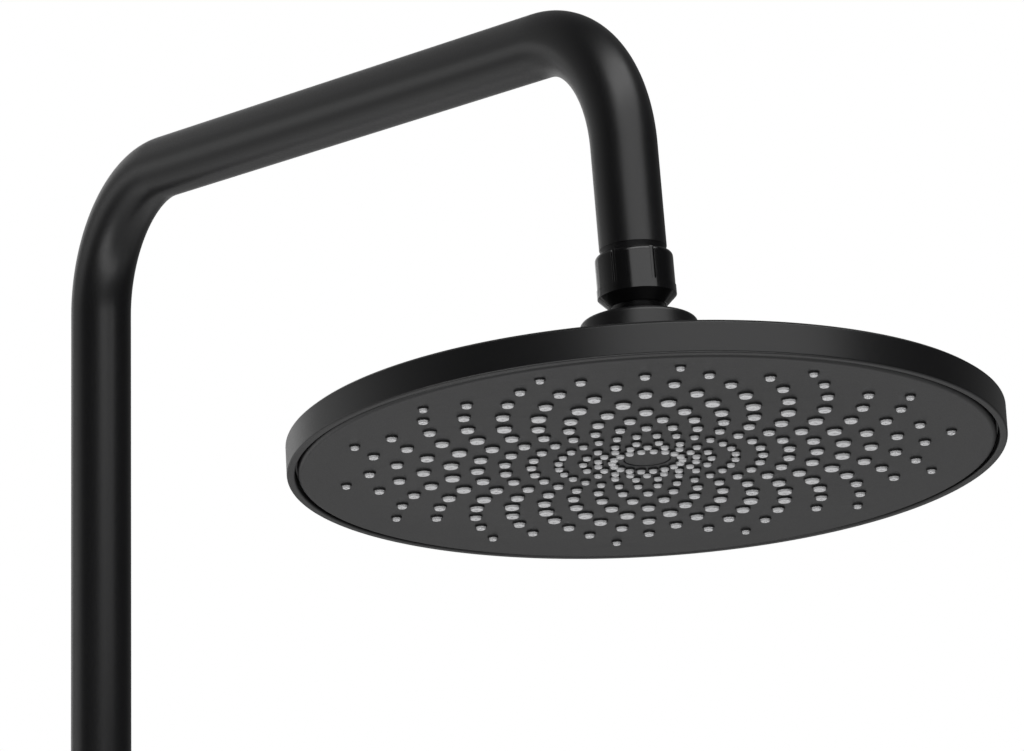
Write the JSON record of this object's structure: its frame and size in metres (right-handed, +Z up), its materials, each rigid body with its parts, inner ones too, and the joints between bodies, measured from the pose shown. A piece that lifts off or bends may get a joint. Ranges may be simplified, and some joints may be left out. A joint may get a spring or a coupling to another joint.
{
  "type": "overhead shower on riser arm",
  "caption": "Wall-held bent shower riser and arm in matte black with a ball-jointed round rain head and soft spray nozzles.",
  "frame": {"origin": "middle of the wall plate's back face, on the wall", "axes": "+Z up along the riser, +Y into the wall, the arm reaches towards -Y"},
  "size_m": [0.2312, 0.5309, 0.447],
  "materials": {
    "black_metal": "satin black powder coat",
    "black_plastic": "matte black moulded plastic",
    "dark_plastic": "plain moulded plastic",
    "white_plastic": "natural acetal plastic",
    "grey_silicone": "soft light grey silicone",
    "black_rubber": "seal rubber",
    "brass": "turned",
    "steel": "stainless, plain"
  },
  "bodies": {
    "root": {"riser_arm_tube": "black_metal", "arm_nipple": "black_metal", "union_nut": "black_metal", "inlet_washer": "black_rubber", "filter_screen": "steel", "flow_regulator": "white_plastic", "regulator_ring": "black_rubber", "riser_tailpiece": "brass", "lower_washer": "black_rubber", "wall_plate": "steel", "bracket_arm": "black_metal", "clamp_cap": "black_metal", "clamp_screws": "steel", "clamp_liner": "dark_plastic", "bracket_grub_screw": "steel"},
    "seat": {"ball_seat": "white_plastic"},
    "ball": {"ball_stem": "black_metal"},
    "head": {"back_shell": "black_plastic", "neck_collar": "black_plastic", "stem_seal": "black_rubber", "chamber_seal": "black_rubber", "spray_plate": "dark_plastic", "nozzle_mat": "grey_silicone", "face_plate": "black_plastic", "face_screws": "steel", "centre_screw": "steel", "centre_cap": "black_plastic"},
    "lower_nut": {"lower_union_nut": "black_metal"},
    "rosette": {"cover_rosette": "black_metal"}
  },
  "joints": [
    {"name": "ball_swivel", "type": "hinge", "parent": "root", "child": "seat", "pos_m": [0, -0.40899, 0.19637], "axis": [0, 0.1271, 0.9919], "continuous": true},
    {"name": "head_tilt", "type": "hinge", "parent": "seat", "child": "ball", "pos_m": [0, -0.40899, 0.19637], "axis": [-0.3478, 0.93, -0.1191], "range_deg": [-17.6, 12.4]},
    {"name": "head_spin", "type": "hinge", "parent": "ball", "child": "head", "pos_m": [0, -0.40899, 0.19637], "axis": [0.0423, 0.1425, 0.9889], "continuous": true},
    {"name": "lower_nut_spin", "type": "hinge", "parent": "root", "child": "lower_nut", "pos_m": [0, -0.06, -0.137], "axis": [0, 0, 1], "continuous": true},
    {"name": "rosette_slide", "type": "slide", "parent": "root", "child": "rosette", "axis": [0, -1, 0], "range_m": [0, 0.026]}
  ]
}
